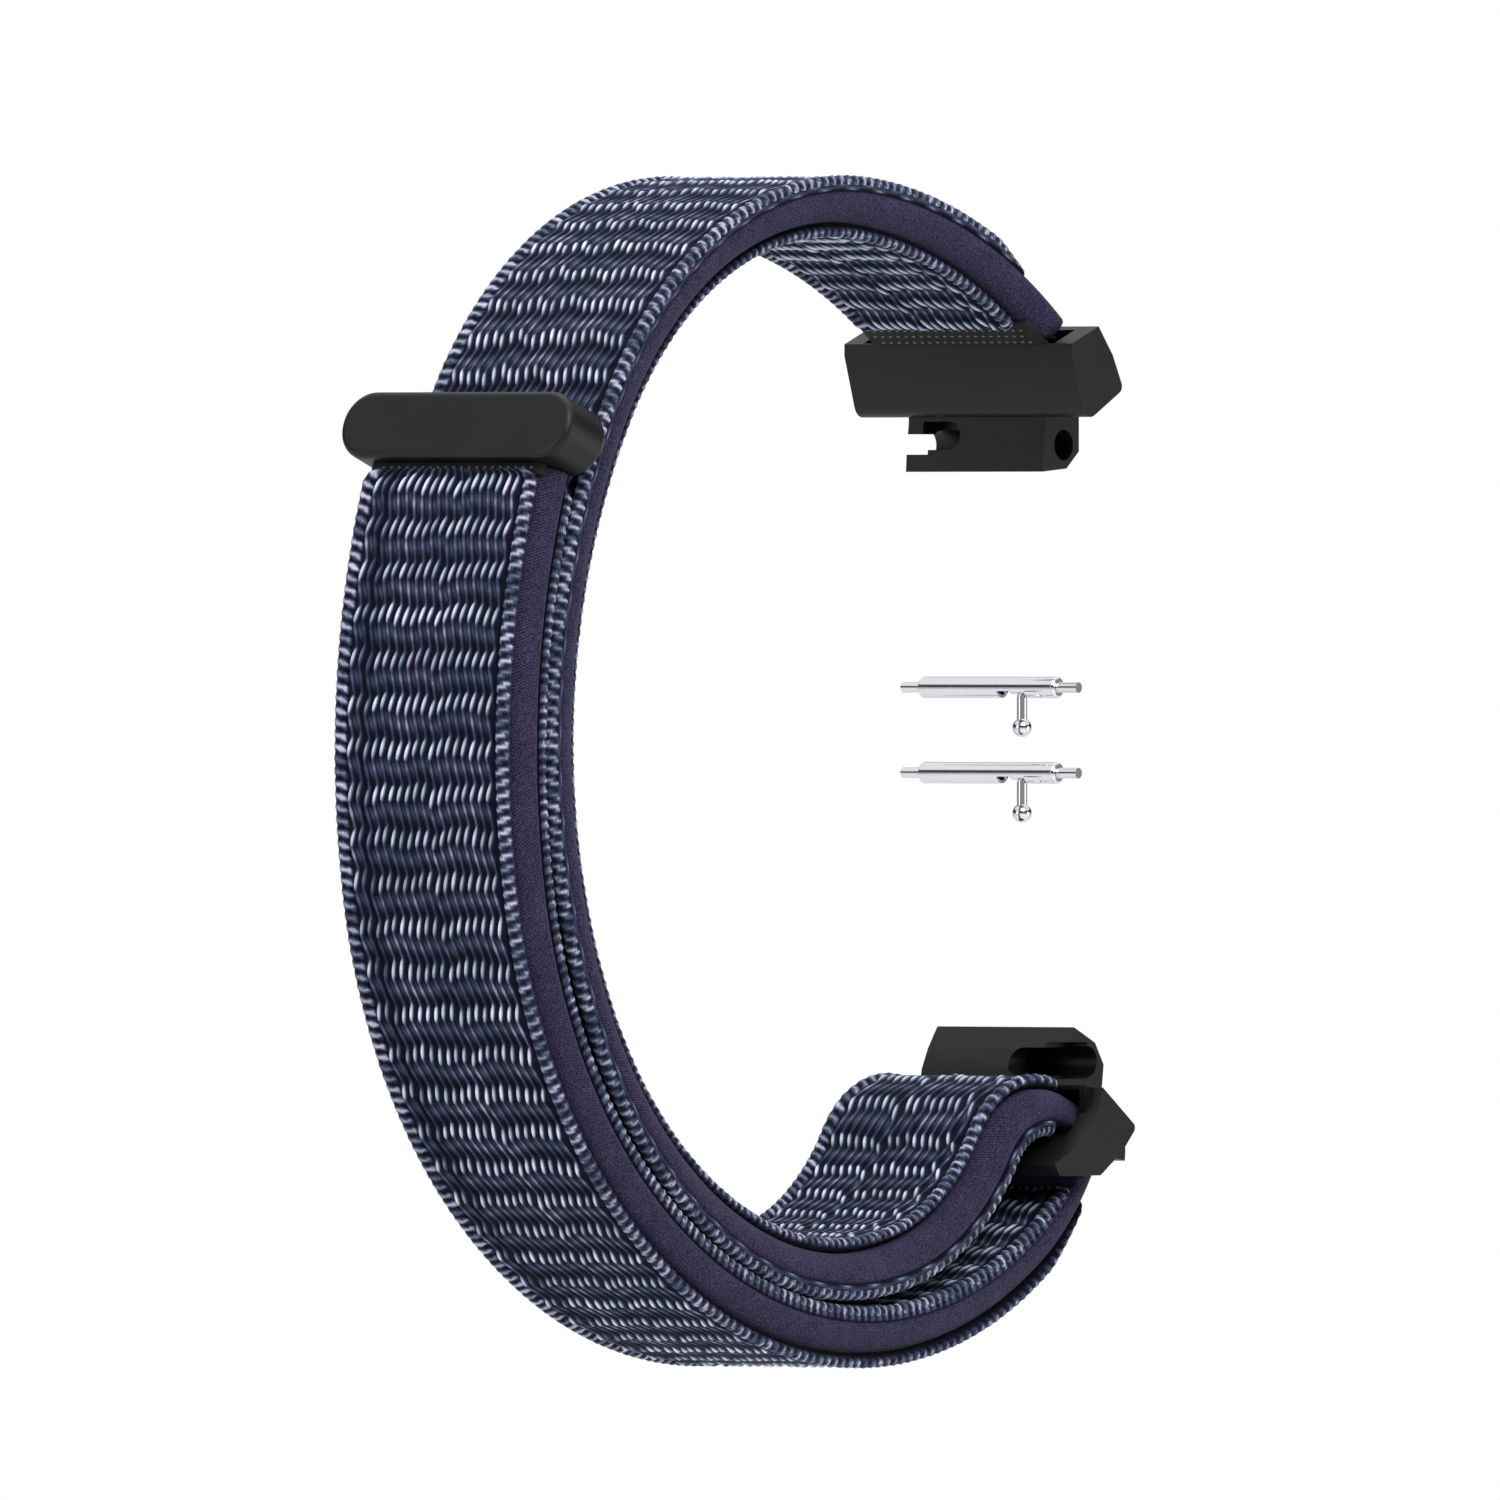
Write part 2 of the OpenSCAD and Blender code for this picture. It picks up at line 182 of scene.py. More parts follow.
def meshObject(name, bm):
    mesh = bpy.data.meshes.new(name)
    bm.to_mesh(mesh)
    bm.free()
    item = bpy.data.objects.new(name, mesh)
    scene.collection.objects.link(item)
    return item


# "#rrggbb" as linear light
def linear(tone):
    parts = [int(tone[i:i + 2], 16) / 255 for i in (1, 3, 5)]
    return tuple(c / 12.92 if c < 0.04045 else ((c + 0.055) / 1.055) ** 2.4 for c in parts)


def plainMaterial(name, colour, roughness, metallic=0.0):
    material = bpy.data.materials.new(name)
    material.use_nodes = True
    shell = material.node_tree.nodes["Principled BSDF"]
    shell.inputs["Base Color"].default_value = (*colour, 1)
    shell.inputs["Roughness"].default_value = roughness
    shell.inputs["Metallic"].default_value = metallic
    return material


def wire(tree, source, target):
    tree.links.new(source, target)


def mathNode(tree, operation, a, b=None):
    item = tree.nodes.new("ShaderNodeMath")
    item.operation = operation
    for socket, value in ((0, a), (1, b)):
        if isinstance(value, bpy.types.NodeSocket):
            wire(tree, value, item.inputs[socket])
        elif value is not None:
            item.inputs[socket].default_value = value
    return item.outputs[0]


# share * source + base
def scaled(tree, source, share, base):
    return mathNode(tree, "ADD", mathNode(tree, "MULTIPLY", source, share), base)


def colourRamp(tree, source, stops):
    item = tree.nodes.new("ShaderNodeValToRGB")
    marks = item.color_ramp.elements
    for mark, (place, colour) in ((marks[0], stops[0]), (marks[1], stops[-1])):
        mark.position = place
        mark.color = (*colour, 1)
    for place, colour in stops[1:-1]:
        marks.new(place).color = (*colour, 1)
    wire(tree, source, item.inputs["Fac"])
    return item.outputs["Color"]


def noise(tree, source, scale, detail=2):
    item = tree.nodes.new("ShaderNodeTexNoise")
    item.inputs["Scale"].default_value = scale
    item.inputs["Detail"].default_value = detail
    wire(tree, source, item.inputs["Vector"])
    return item.outputs["Fac"]


def addRelief(tree, height, strength, distance):
    bump = tree.nodes.new("ShaderNodeBump")
    bump.inputs["Strength"].default_value = strength
    bump.inputs["Distance"].default_value = distance
    wire(tree, height, bump.inputs["Height"])
    wire(tree, bump.outputs["Normal"], tree.nodes["Principled BSDF"].inputs["Normal"])


def attribute(tree, name):
    item = tree.nodes.new("ShaderNodeAttribute")
    item.attribute_name = name
    return item


def addBevel(item, width, segments, sharp):
    bevel = item.modifiers.new("easedEdges", "BEVEL")
    bevel.width = width
    bevel.segments = segments
    bevel.limit_method = "ANGLE"
    bevel.angle_limit = math.radians(sharp)
    bevel.harden_normals = True


# The strap's centre line in mm and degrees, the same as the solids follow
strapLine = {
    "start": (26.65, 27.65, 141.8),  # x, z and heading
    # (radius, sweep) arcs with left turns positive; a radius of 0 is a straight of that length
    "loop": [(37.2, 32.3), (26.1, 31.7), (26.8, 31.6), (40.5, 28.2), (38, 30.6), (30.3, 44.4), (24.5, 33.6),
             (16.2, 42.7), (5.8, -77), (0, 1.4)],
    "fold": [(2.2, -102)],
    "outer": [(17.7, -24.5), (30.1, -15.9), (33.5, -17.7), (35.9, -41.3), (33.8, -12.2)],
    "flex": [(33.8, -13)],
    "tail": [(33.8, -13), (49.9, -30.8)],
}


def arcLength(arc):
    return arc[1] if arc[0] == 0 else arc[0] * abs(math.radians(arc[1]))


def lengthOf(part):
    return sum(arcLength(arc) for arc in strapLine[part])


foldAt = lengthOf("loop")
outerAt = foldAt + lengthOf("fold")
flexAt = outerAt + lengthOf("outer")
tailAt = flexAt + lengthOf("flex")
endAt = tailAt + lengthOf("tail")


def along(arc, spot, share):
    x, z, heading = spot
    radius, sweep = arc
    if radius == 0:
        h = math.radians(heading)
        return x + sweep * share * math.cos(h), z + sweep * share * math.sin(h), heading
    side = 1 if sweep > 0 else -1
    ahead = heading + sweep * share
    a, b = math.radians(heading), math.radians(ahead)
    acrossX = side * radius * (math.sin(b) - math.sin(a))
    acrossZ = side * radius * (math.cos(b) - math.cos(a))
    return x + acrossX, z - acrossZ, ahead


# x, z and heading at a length along the strap
def station(s):
    spot = strapLine["start"]
    arcs = [arc for part in ("loop", "fold", "outer", "flex", "tail") for arc in strapLine[part]]
    for arc in arcs[:-1]:
        length = arcLength(arc)
        if s <= length:
            return along(arc, spot, s / length)
        s -= length
        spot = along(arc, spot, 1)
    return along(arcs[-1], spot, s / arcLength(arcs[-1]))


# A closed band swept along the strap: rows follow its length and columns go round its section.
# "yarn" carries shade, tone and depth, and "flow" the length, width and height, for the finishes
def alongStrap(name, lengths, across, offset, tint):
    rows, columns = across.shape
    bm = bmesh.new()
    bmesh.ops.create_grid(bm, x_segments=columns, y_segments=rows - 1, size=1)
    yarn = bm.verts.layers.float_color.new("yarn")
    flow = bm.verts.layers.float_vector.new("flow")
    spots = [station(s) for s in lengths]
    for vert in bm.verts:
        column = round((vert.co.x + 1) / 2 * columns) % columns
        row = round((vert.co.y + 1) / 2 * (rows - 1))
        x, z, heading = spots[row]
        turn = math.radians(heading)
        d = offset[row, column]
        vert.co = (mm * (x - d * math.sin(turn)), mm * across[row, column], mm * (z + d * math.cos(turn)))
        vert[yarn] = (*tint[row, column], 1)
        vert[flow] = (lengths[row], across[row, column], d)
    bmesh.ops.remove_doubles(bm, verts=bm.verts, dist=1e-7)
    closeAndSmooth(bm)
    return meshObject(name, bm)


# Fills open ends and shades everything smooth but those ends
def closeAndSmooth(bm):
    bmesh.ops.holes_fill(bm, edges=[e for e in bm.edges if e.is_boundary], sides=0)
    bmesh.ops.recalc_face_normals(bm, faces=bm.faces)
    for face in bm.faces:
        face.smooth = len(face.verts) < 5


# Lengths in mm
weave = {
    "pitch": 0.65,  # between yarns across the strap
    "period": 2.72,  # between rows of bright stitches
    "bright": 0.44,  # share of the period a yarn lies on top
    "stagger": 0.06,  # how unevenly neighbouring yarns start
    "waver": 0.035,  # slow drift of the rows
    "slant": 0.2,
    "topLift": 0.27,
    "lowLift": 0.11,
    "mergeAt": 0.8,  # share of the period where low yarns meet
    "mergeWidth": 0.13,
    "mergeRise": 0.03,
    "yarnHalf": 0.1,
    "topSwell": 0.06,
    "mergeSwell": 0.07,
    # Across a yarn: step in its half width, rise as a share of its lift, and glow, a painted light that is
    # brightest on the crest with painted shade down the flanks to the edges
    "yarnSteps": [(-1, 0.25, 0.06), (-0.6, 0.8, 0.75), (0, 1, 1), (0.6, 0.8, 0.75), (1, 0.25, 0.06)],
    "rowStep": 0.2267,
    "edge": 1.06,  # width kept for the selvage at each side
    "ropeRadius": 0.43,
    "ropeInset": 0.02,
    "ropeAngles": (-20, 15, 50, 85, 120, 155),
    "beadPitch": 0.74,
    "coreHalf": 0.975,
    "thickness": 1.0,
    "cornerRadius": 1.0,
    "stopFade": 0.45,  # length over which a facing thins at its last end
    "hookFade": 0.8,  # length over which the hook tape darkens
    "hookDark": 0.85,
    "grooveShade": 0.55,  # how much of its light a yarn in the groove keeps
}

# Start and stop are lengths along the strap. Side 1 lies on the left of its heading and -1 on the right.
# fade is how far the start thins, edge how the selvage looks from the side, grooveAt a darker yarn, and
# hooksFrom where the hook tape starts
facings = {
    "wristFace": {"side": 1, "start": 2.6, "stop": foldAt - 1.2, "halfWidth": 6.3, "seed": 3},
    "loopFace": {"side": -1, "start": 4.5, "stop": foldAt - 2.2, "halfWidth": 7.42, "seed": 5,
                 "slantWay": -1, "fade": 3.5, "edge": "streaked"},
    "outerFace": {"side": 1, "start": outerAt + 1.6, "stop": endAt - 0.35, "halfWidth": 6.9, "seed": 7,
                  "slantWay": -1, "grooveAt": 16, "fade": 5},
    "innerFace": {"side": -1, "start": outerAt + 2.2, "stop": endAt - 0.5, "halfWidth": 7.42, "seed": 9,
                  "hooksFrom": tailAt, "edge": "ridged", "fade": 2},
}


# How far the facing's corners draw in near its ends
def endCut(lengths, start, stop):
    radius = weave["cornerRadius"]
    cut = np.zeros(len(lengths))
    for distance in (lengths - start, stop - lengths):
        near = np.clip(radius - distance, 0, radius)
        cut = np.maximum(cut, radius - np.sqrt(np.maximum(radius ** 2 - near ** 2, 0)))
    return cut


# Inset from the edge, height and shade, from the facing's bottom corner up to its rope
def edgeRows(edge, lengths, beads, beadTone):
    if edge == "tucked":
        return [(0.95, 0.0, 0.0), (0.85, 0.06, 0.0), (0.75, 0.14, 0.0), (0.6, 0.22, 0.0), (0.4, 0.3, 0.0)]
    if edge == "ridged":
        ridge = np.clip(0.3 + 0.9 * np.cos(2 * np.pi * beads), 0, 1) * (0.4 + 0.6 * beadTone)
        return [(0.55, 0.0, 0.0), (0.12, 0.0, 0.0), (0.02, 0.12, 0.4 * ridge), (0.0, 0.25, 0.5 * ridge),
                (0.03, 0.38, 0.5 * ridge)]
    swing = 2 * np.pi * lengths / weave["period"]
    streakUp = np.clip(0.25 + 0.7 * np.cos(swing), 0, 1) ** 1.5 * (0.5 + 0.5 * beadTone)
    streakLow = np.clip(0.2 + 0.7 * np.cos(swing + 2.4), 0, 1) ** 1.5
    return [(0.55, 0.0, 0.0), (0.12, 0.0, 0.0), (0.0, 0.1, 0.55 * streakLow),
            (-0.02, 0.24, 0.12 + 0.1 * streakLow), (0.02, 0.4, 0.5 * streakUp)]


def facing(name, side, start, stop, halfWidth, seed, slantWay=1, hooksFrom=None, grooveAt=None, fade=0.45,
           edge="tucked"):
    rng = np.random.default_rng(seed)
    rows = int(round((stop - start) / weave["rowStep"])) + 1
    lengths = np.linspace(start, stop, rows)
    down = lengths[:, None]
    inner = halfWidth - weave["edge"]
    ribs = int(2 * inner / weave["pitch"] + 0.5)
    pitch = 2 * inner / ribs
    centres = (np.arange(ribs) + 0.5) * pitch - inner
    beside = centres[None, :]
    drift = weave["waver"] * np.sin(down * 0.9 + beside)
    turns = down / weave["period"] + rng.normal(0, weave["stagger"], ribs)[None, :] + drift
    count = turns.astype(int)
    share = turns - count
    tone = rng.random((count.max() + 3, ribs))[count, np.arange(ribs)[None, :]]
    rowTone = rng.random(count.max() + 3)[count]
    patch = 0.5 + 0.5 * np.sin(down * 0.31 + 2.1 * np.sin(beside * 0.7 + down * 0.11))
    bright = weave["bright"]
    top = np.where(share < bright, np.sin(np.pi * np.clip(share / bright, 0, 1)), 0) ** 0.6
    merge = np.exp(-((share - weave["mergeAt"]) / weave["mergeWidth"]) ** 2)
    strength = (0.64 + 0.36 * tone) * (0.72 + 0.28 * rowTone)
    light = 1.2 * top * strength + (1 - top) * (0.12 + 0.24 * merge + 0.24 * tone * patch)
    if hooksFrom:
        hooked = np.clip((lengths - hooksFrom) / weave["hookFade"], 0, 1)[:, None]
        light = light * (1 - weave["hookDark"] * hooked)
    if grooveAt:
        light[:, grooveAt - 1:grooveAt + 1] *= weave["grooveShade"]
    lift = weave["topLift"] * top + (1 - top) * (weave["lowLift"] - weave["mergeRise"] * merge)
    half = weave["yarnHalf"] + weave["topSwell"] * top + weave["mergeSwell"] * merge
    rising, falling = 2 * share / bright - 1, 1 - 2 * (share - bright) / (1 - bright)
    lateral = slantWay * weave["slant"] * np.where(share < bright, rising, falling)
    floor = weave["thickness"] - weave["topLift"] + weave["mergeRise"] * merge
    across, height, tint = [], [], []

    def column(y, h, shade, toneValue, depth):
        across.append(np.broadcast_to(y, rows).copy())
        height.append(np.broadcast_to(h, rows).copy())
        tint.append(np.stack([np.broadcast_to(v, rows) for v in (shade, toneValue, depth)], axis=-1))

    # From the bottom corner up and over the edge, ending in the dark groove beside the weave
    def selvage(sign):
        beads = lengths / weave["beadPitch"]
        beadTone = rng.random(int(beads.max()) + 3)[beads.astype(int)]
        for inset, h, shade in edgeRows(edge, lengths, beads, beadTone):
            column(sign * (halfWidth - inset), h, shade, 0.4, 0.5)
        radius, gap = weave["ropeRadius"], weave["ropeInset"]
        centreY, centreH = halfWidth - radius - gap, weave["thickness"] - radius - gap
        for angle in weave["ropeAngles"]:
            a = math.radians(angle)
            wave = np.cos(2 * np.pi * beads + 1.1 * a)
            r = radius * (1 + 0.1 * wave)
            shade = 0.01 + 0.74 * np.clip(0.3 + 1.1 * wave, 0, 1) * (0.45 + 0.55 * beadTone)
            # Painted shade: where the edge tucks in, the rope's lower beads, under the rope, are painted at
            # 0.3 of their light
            if angle < 0 and edge == "tucked":
                shade = shade * 0.3
            column(sign * (centreY + r * math.cos(a)), centreH + r * math.sin(a), shade, beadTone, 0.2)
        column(sign * (inner + 0.04), floor.min() - 0.12, 0.0, 0.4, 1.0)

    selvage(-1)
    for k in range(ribs):
        if k:  # the valley before this yarn
            valley = 0.34 * merge[:, k] * (0.6 + 0.4 * tone[:, k]) * (k != grooveAt)
            between = centres[k] - pitch / 2 + 0.5 * (lateral[:, k] + lateral[:, k - 1])
            column(between, floor[:, k] - 0.06, valley, patch[:, k], 1 - 0.6 * merge[:, k])
        middle = centres[k] + lateral[:, k]
        yarnTone = 0.6 * patch[:, k] + 0.4 * tone[:, k]
        # glow paints shade across the yarn: full light on its crest, darker down its flanks and nearly dark
        # at its edges
        for step, rise, glow in weave["yarnSteps"]:
            column(middle + step * half[:, k], floor[:, k] + rise * lift[:, k], glow * light[:, k], yarnTone,
                   0.25 * abs(step))
    right = len(across)
    selvage(1)
    for part in (across, height, tint):
        part[right:] = part[right:][::-1]
    column(0.0, 0.0, 0.0, 0.3, 1.0)
    across, height, tint = np.stack(across, 1), np.stack(height, 1), np.stack(tint, 1)
    across = across * ((halfWidth - endCut(lengths, start, stop)) / halfWidth)[:, None]
    # A long fade runs out thin, and a short one keeps a blunt end
    low, power = (0.55, 0.5) if fade < 1 else (0.12, 1)
    fromStart = np.clip((lengths - start) / fade, 0, 1)
    toStop = np.clip((stop - lengths) / weave["stopFade"], 0, 1) + (fade - weave["stopFade"])
    thin = np.minimum(fromStart, toStop) ** power
    height = height * (low + (1 - low) * np.clip(thin, 0, 1))[:, None]
    return alongStrap(name, lengths, across, side * (weave["coreHalf"] + height), tint)


# Lengths in mm; the start and stop of each block run along the strap
core = {
    "halfWide": 7.42,
    "halfNarrow": 6.62,
    "half": 0.975,
    "bulge": 0.27,
    "corner": 0.22,
    "rowStep": 0.6,
    "sideSteps": 8,
    "loop": (0.15, foldAt + 2.0),
    "outer": (foldAt + 1.9, endAt + 0.15),
}
tabs = {
    "halfWidth": 6.8,
    "corner": 0.1,
    "rowStep": 0.4,
    "sideSteps": 3,
    "top": (-0.5, 2.7, 0.7, 1.3),  # start, stop, low and high
    "topRows": (0.7, 1.35, 2.0),
    "tail": (endAt - 0.5, endAt + 0.9, 0.4, 1.3),
    "tailRows": (endAt - 0.1, endAt + 0.35),
    "dashPitch": 0.62,
    "dashSize": (0.2, 0.3, 0.12),
    "dashStagger": 0.15,
    "dashMargin": 0.5,
    "cloth": ("#08080a", 0.85),
    "paleThread": ("#6a6b7c", 0.6),
    "blackThread": ("#17171b", 0.7),
}


# A plain block along the strap, its two faces at different widths and its sides rounded
def sweptBlock(name, start, stop, low, high, halfLow, halfHigh, bulge, corner, rowStep, sideSteps):
    rows = int((stop - start) / rowStep) + 2
    lengths = np.linspace(start, stop, rows)
    edge = []
    for i in range(sideSteps + 1):
        t = i / sideSteps
        y = halfHigh + (halfLow - halfHigh) * t + bulge * math.sin(math.pi * t) - corner * abs(2 * t - 1) ** 6
        edge.append((y, high + (low - high) * t))
    flats = [k / 3 * halfLow for k in (2, 1, 0, -1, -2)]
    farEdge = [(-y, d) for y, d in edge[::-1]]
    section = edge + [(y, low) for y in flats] + farEdge + [(-y, high) for y in flats]
    across = np.tile([p[0] for p in section], (rows, 1))
    offset = np.tile([p[1] for p in section], (rows, 1))
    return alongStrap(name, lengths, across, offset, np.zeros((*across.shape, 3)) + 0.5)


def coreBand(name, start, stop):
    return sweptBlock(name, start, stop, -core["half"], core["half"], core["halfWide"], core["halfNarrow"],
                      core["bulge"], core["corner"], core["rowStep"], core["sideSteps"])


def tabStrip(name, start, stop, low, high):
    half = tabs["halfWidth"]
    return sweptBlock(name, start, stop, low, high, half, half, 0, tabs["corner"], tabs["rowStep"],
                      tabs["sideSteps"])


# Rows of short pale stitches across a tab
def dashes(name, lengths, offset):
    bm = bmesh.new()
    count = int(2 * (tabs["halfWidth"] - tabs["dashMargin"]) / tabs["dashPitch"])
    size = Matrix.Diagonal((*(v * mm for v in tabs["dashSize"]), 1))
    for row, s in enumerate(lengths):
        x, z, heading = station(s)
        turn = math.radians(heading)
        middle = Vector((x - offset * math.sin(turn), 0, z + offset * math.cos(turn)))
        shift = tabs["dashStagger"] if row % 2 else -tabs["dashStagger"]
        for k in range(count):
            y = (k - (count - 1) / 2) * tabs["dashPitch"] + shift
            place = Matrix.Translation((middle + Vector((0, y, 0))) * mm) @ Matrix.Rotation(-turn, 4, "Y")
            bmesh.ops.create_icosphere(bm, subdivisions=1, radius=0.5, matrix=place @ size)
    for face in bm.faces:
        face.smooth = True
    return meshObject(name, bm)


# Lengths in mm
cap = {
    "length": 18.3,
    "height": 4.5,
    "front": 2.4,
    "back": 1.6,
    "endRadius": 2.2,
    "endSegments": 14,
    "edgeRadius": 0.5,
    "edgeSegments": 6,
    "sharp": 50,
    "reach": 2.45,  # from the strap's end to the cap's middle
}


# The moulded cap over the tail's end: a rounded bar square to the strap
def capPill():
    x, z, heading = station(endAt)
    turn = math.radians(heading)
    bm = bmesh.new()
    depth = cap["front"] + cap["back"]
    block = Matrix.Diagonal((cap["height"] * mm, cap["length"] * mm, depth * mm, 1))
    bmesh.ops.create_cube(bm, size=1, matrix=block)
    ends = [e for e in bm.edges if abs((e.verts[0].co - e.verts[1].co).z) > depth * mm * 0.9]
    bmesh.ops.bevel(bm, geom=ends, offset=cap["endRadius"] * mm, segments=cap["endSegments"], affect="EDGES",
                    profile=0.5, material=-1)
    for face in bm.faces:
        face.smooth = True
    reach = cap["reach"]
    lift = (cap["front"] - cap["back"]) / 2
    spotX = x + reach * math.cos(turn) - lift * math.sin(turn)
    spotZ = z + reach * math.sin(turn) + lift * math.cos(turn)
    bm.transform(Matrix.Translation(Vector((spotX, 0, spotZ)) * mm) @ Matrix.Rotation(-turn, 4, "Y"))
    item = meshObject("tailCap", bm)
    addBevel(item, cap["edgeRadius"] * mm, cap["edgeSegments"], cap["sharp"])
    return item


# Scales here count in mm, because "flow" does
wovenFinish = {
    "tones": [(0.0, "#020216"), (0.3, "#454b63"), (0.95, "#e6ebf9")],
    "hues": [(0.15, (0.86, 1.04, 1.02)), (0.8, (1.06, 0.96, 1.06))],  # greener and redder patches
    "spotScale": 3.2,
    "spotDetail": 5,
    "fibreStretch": (1.3, 14, 8),
    "fibreScale": 1.6,
    "fibreDetail": 4,
    "unevenness": 0.5,  # of the fibres, stronger on bright yarns
    "leastUneven": 0.15,
    "toneShare": 0.6,  # of the patches, the rest comes from the spots
    "spotShare": 0.4,
    "relief": (0.5, 0.00006),
    "roughness": (0.78, 0.28),  # in the dark, and how much less on a bright yarn
    "sheen": 0.05,
    "sheenRoughness": 0.5,
    "specular": 0.08,
}


def wovenMaterial(name):
    material = bpy.data.materials.new(name)
    material.use_nodes = True
    tree = material.node_tree
    shell = tree.nodes["Principled BSDF"]
    split = tree.nodes.new("ShaderNodeSeparateColor")
    wire(tree, attribute(tree, "yarn").outputs["Color"], split.inputs[0])
    shade, tone = split.outputs[0], split.outputs[1]
    flow = attribute(tree, "flow").outputs["Vector"]
    spots = noise(tree, flow, wovenFinish["spotScale"], wovenFinish["spotDetail"])
    stretch = tree.nodes.new("ShaderNodeVectorMath")
    stretch.operation = "MULTIPLY"
    stretch.inputs[1].default_value = wovenFinish["fibreStretch"]
    wire(tree, flow, stretch.inputs[0])
    fibre = noise(tree, stretch.outputs[0], wovenFinish["fibreScale"], wovenFinish["fibreDetail"])
    uneven = mathNode(tree, "MULTIPLY", mathNode(tree, "SUBTRACT", fibre, 0.5), wovenFinish["unevenness"])
    stronger = mathNode(tree, "ADD", shade, wovenFinish["leastUneven"])
    level = mathNode(tree, "ADD", shade, mathNode(tree, "MULTIPLY", uneven, stronger))
    tones = colourRamp(tree, level, [(place, linear(colour)) for place, colour in wovenFinish["tones"]])
    patches = mathNode(tree, "ADD", mathNode(tree, "MULTIPLY", tone, wovenFinish["toneShare"]),
                       mathNode(tree, "MULTIPLY", spots, wovenFinish["spotShare"]))
    mix = tree.nodes.new("ShaderNodeMix")
    mix.data_type = "RGBA"
    mix.blend_type = "MULTIPLY"
    mix.inputs["Factor"].default_value = 1.0
    wire(tree, tones, mix.inputs["A"])
    wire(tree, colourRamp(tree, patches, wovenFinish["hues"]), mix.inputs["B"])
    wire(tree, mix.outputs["Result"], shell.inputs["Base Color"])
    addRelief(tree, fibre, *wovenFinish["relief"])
    dull, less = wovenFinish["roughness"]
    rough = mathNode(tree, "SUBTRACT", dull, mathNode(tree, "MULTIPLY", shade, less))
    wire(tree, rough, shell.inputs["Roughness"])
    shell.inputs["Sheen Weight"].default_value = wovenFinish["sheen"]
    shell.inputs["Sheen Roughness"].default_value = wovenFinish["sheenRoughness"]
    shell.inputs["Specular IOR Level"].default_value = wovenFinish["specular"]
    return material


knitFinish = {
    "tones": [(0.2, "#1d1a30"), (0.8, "#48425f")],
    "stitchPitch": 0.2,
    "chevron": 0.75,  # how far the stitches lean from the middle to the faces
    "lineShare": 0.17,
    "noiseScale": 9.0,
    "noiseDetail": 3,
    "noiseShare": 1.7,
    "noiseMiddle": 0.34,
    "blotchScale": 0.5,
    "blotchShare": 0.25,
    "relief": (0.6, 0.00004),
    "roughness": 0.85,
    "sheen": 0.05,
    "specular": 0.06,
}


def knitMaterial(name):
    material = bpy.data.materials.new(name)
    material.use_nodes = True
    tree = material.node_tree
    shell = tree.nodes["Principled BSDF"]
    flow = attribute(tree, "flow").outputs["Vector"]
    split = tree.nodes.new("ShaderNodeSeparateXYZ")
    wire(tree, flow, split.inputs[0])
    fromMiddle = mathNode(tree, "ABSOLUTE", split.outputs["Z"])
    chevron = mathNode(tree, "MULTIPLY", fromMiddle, knitFinish["chevron"])
    leaning = mathNode(tree, "ADD", split.outputs["X"], chevron)
    phase = mathNode(tree, "MULTIPLY", leaning, 2 * math.pi / knitFinish["stitchPitch"])
    lines = mathNode(tree, "SINE", phase)
    fuzz = noise(tree, flow, knitFinish["noiseScale"], knitFinish["noiseDetail"])
    blotch = noise(tree, flow, knitFinish["blotchScale"])
    lifted = mathNode(tree, "SUBTRACT", fuzz, knitFinish["noiseMiddle"])
    uneven = mathNode(tree, "ADD", mathNode(tree, "MULTIPLY", lifted, knitFinish["noiseShare"]),
                      mathNode(tree, "MULTIPLY", blotch, knitFinish["blotchShare"]))
    level = scaled(tree, lines, knitFinish["lineShare"], uneven)
    tones = colourRamp(tree, level, [(place, linear(colour)) for place, colour in knitFinish["tones"]])
    wire(tree, tones, shell.inputs["Base Color"])
    addRelief(tree, level, *knitFinish["relief"])
    shell.inputs["Roughness"].default_value = knitFinish["roughness"]
    shell.inputs["Sheen Weight"].default_value = knitFinish["sheen"]
    shell.inputs["Specular IOR Level"].default_value = knitFinish["specular"]
    return material


plasticFinish = {
    "tones": [(0.3, "#0a0a0b"), (0.7, "#121213")],
    "grainScale": 9000,
    "grainDetail": 3,
    "cloudScale": 260,
    "cloudDetail": 4,
    "roughness": (0.14, 0.34),  # how much the clouds vary it, and its least
    "specular": 0.3,
    "relief": (0.12, 0.00002),
}


def plasticMaterial(name):
    material = bpy.data.materials.new(name)
    material.use_nodes = True
    tree = material.node_tree
    shell = tree.nodes["Principled BSDF"]
    coord = tree.nodes.new("ShaderNodeTexCoord").outputs["Object"]
    grain = noise(tree, coord, plasticFinish["grainScale"], plasticFinish["grainDetail"])
    cloud = noise(tree, coord, plasticFinish["cloudScale"], plasticFinish["cloudDetail"])
    tones = colourRamp(tree, cloud, [(place, linear(colour)) for place, colour in plasticFinish["tones"]])
    wire(tree, tones, shell.inputs["Base Color"])
    wire(tree, scaled(tree, cloud, *plasticFinish["roughness"]), shell.inputs["Roughness"])
    shell.inputs["Specular IOR Level"].default_value = plasticFinish["specular"]
    addRelief(tree, grain, *plasticFinish["relief"])
    return material


metalFinish = {
    "chrome": ("#e3e4e8", 0.08, 900),  # tone, roughness and how fine the grain is
    "steel": ("#b9bcc2", 0.25, 1500),
    "grainStretch": (1, 12, 1),
    "grainDetail": 3,
    "roughnessSpread": 0.14,
    "roughnessDrop": 0.05,
    "relief": (0.06, 0.00001),
}


